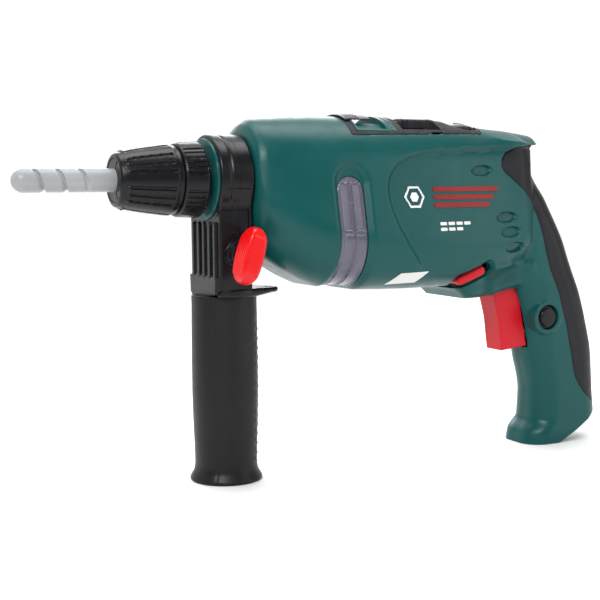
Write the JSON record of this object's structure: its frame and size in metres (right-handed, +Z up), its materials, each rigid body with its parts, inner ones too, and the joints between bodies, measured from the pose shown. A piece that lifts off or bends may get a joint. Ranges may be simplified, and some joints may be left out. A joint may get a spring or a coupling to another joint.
{
  "type": "toy power drill",
  "caption": "Child's toy power drill: moulded body with smoked window, turning chuck and spiral bit, trigger grip and a clamped side handle with wing screw.",
  "frame": {"origin": "on the surface the drill stands on, below the centre of its bounding box", "axes": "+Z up, spindle along X with the bit pointing to -X, +Y to the right-hand side with the battery cover"},
  "size_m": [0.3068, 0.0689, 0.1677],
  "materials": {
    "green_plastic": "satin moulded plastic, dark bottle green",
    "black_plastic": "satin moulded plastic, black",
    "black_grip": "matt soft black grip",
    "grey_bit": "matt light grey moulded plastic",
    "red_plastic": "glossy red moulded plastic",
    "smoked_lens": "smoked clear plastic lens",
    "white_plastic": "white nylon gear plastic",
    "steel": "bright steel",
    "motor_steel": "plated steel can",
    "magnet": "dark ferrite",
    "copper": "enamelled copper winding",
    "cell": "plain wrapped cell",
    "board": "green circuit board",
    "brass_bush": "sintered bronze bush"
  },
  "bodies": {
    "housing": {"left_shell": "green_plastic", "right_shell": "green_plastic", "rear_grip": "black_grip", "top_panel": "black_plastic", "light_window": "smoked_lens", "battery_tray": "black_plastic", "battery_contacts": "steel", "battery_cell_1": "cell", "battery_cell_2": "cell", "battery_cell_3": "cell", "gearbox_front_plate": "black_plastic", "gearbox_rear_plate": "black_plastic", "gearbox_posts": "black_plastic", "spindle_front_bush": "brass_bush", "spindle_rear_bush": "brass_bush", "idler_pin": "steel", "motor_can": "motor_steel", "motor_magnets": "magnet", "motor_end_cap": "black_plastic", "trigger_switch": "black_plastic", "trigger_spring": "steel", "lock_spring": "steel", "circuit_board": "board", "speaker": "black_plastic", "window_led": "white_plastic", "case_screws": "steel"},
    "spindle": {"spindle_shaft": "steel", "output_gear": "white_plastic", "chuck_core": "black_plastic", "chuck_sleeve": "black_plastic", "chuck_ring": "black_plastic", "drill_bit": "grey_bit"},
    "idler": {"idler_gear": "white_plastic"},
    "rotor": {"motor_shaft": "steel", "motor_pinion": "white_plastic", "motor_armature": "copper"},
    "trigger": {"trigger": "red_plastic"},
    "lock_button": {"lock_button": "black_plastic"},
    "direction_switch": {"direction_switch": "red_plastic"},
    "gear_slider": {"gear_slider": "black_plastic"},
    "mode_knob": {"mode_knob": "black_plastic"},
    "speed_dial": {"speed_dial": "black_plastic"},
    "side_handle": {"clamp_front": "black_plastic", "clamp_rear": "black_plastic", "hand_guard": "black_plastic", "side_grip": "black_grip", "handle_bolt": "steel"},
    "wing_screw": {"wing_knob": "red_plastic", "wing_stud": "red_plastic"},
    "battery_cover": {"battery_cover": "green_plastic", "cover_screw": "steel"}
  },
  "joints": [
    {"name": "spindle_spin", "type": "hinge", "parent": "housing", "child": "spindle", "pos_m": [0, 0, 0.137], "axis": [1, 0, 0], "continuous": true},
    {"name": "idler_spin", "type": "hinge", "parent": "housing", "child": "idler", "pos_m": [0, 0, 0.115], "axis": [1, 0, 0], "continuous": true},
    {"name": "rotor_spin", "type": "hinge", "parent": "housing", "child": "rotor", "pos_m": [0, 0.0096, 0.1278], "axis": [1, 0, 0], "continuous": true},
    {"name": "trigger_pull", "type": "slide", "parent": "housing", "child": "trigger", "axis": [1, 0, 0], "range_m": [0, 0.005], "stiffness_N_per_m": 500, "springref_m": -0.002, "deforming": ["trigger_spring"]},
    {"name": "lock_press", "type": "slide", "parent": "housing", "child": "lock_button", "axis": [0, 1, 0], "range_m": [0, 0.0016], "stiffness_N_per_m": 300, "springref_m": -0.001, "deforming": ["lock_spring"]},
    {"name": "direction_slide", "type": "slide", "parent": "housing", "child": "direction_switch", "axis": [0.9397, 0, 0.342], "range_m": [0, 0.003]},
    {"name": "gear_slide", "type": "slide", "parent": "housing", "child": "gear_slider", "axis": [1, 0, 0], "range_m": [0, 0.008]},
    {"name": "mode_slide", "type": "slide", "parent": "housing", "child": "mode_knob", "axis": [1, 0, 0], "range_m": [0, 0.0035]},
    {"name": "dial_turn", "type": "hinge", "parent": "housing", "child": "speed_dial", "pos_m": [0.0676, 0, 0.16], "axis": [0, 0, 1], "range_deg": [-135, 135]},
    {"name": "side_handle_turn", "type": "hinge", "parent": "housing", "child": "side_handle", "pos_m": [-0.0578, 0, 0.137], "axis": [1, 0, 0], "range_deg": [-170, 170]},
    {"name": "wing_turn", "type": "hinge", "parent": "side_handle", "child": "wing_screw", "pos_m": [-0.0578, 0, 0.104], "axis": [0, 1, 0], "continuous": true},
    {"name": "battery_cover_off", "type": "slide", "parent": "housing", "child": "battery_cover", "axis": [0, 1, 0], "range_m": [0, 0.03]}
  ],
  "couplings": [
    {"joint": "idler_spin", "follows": "spindle_spin", "ratio": -2.6667},
    {"joint": "rotor_spin", "follows": "spindle_spin", "ratio": 6.2222}
  ]
}
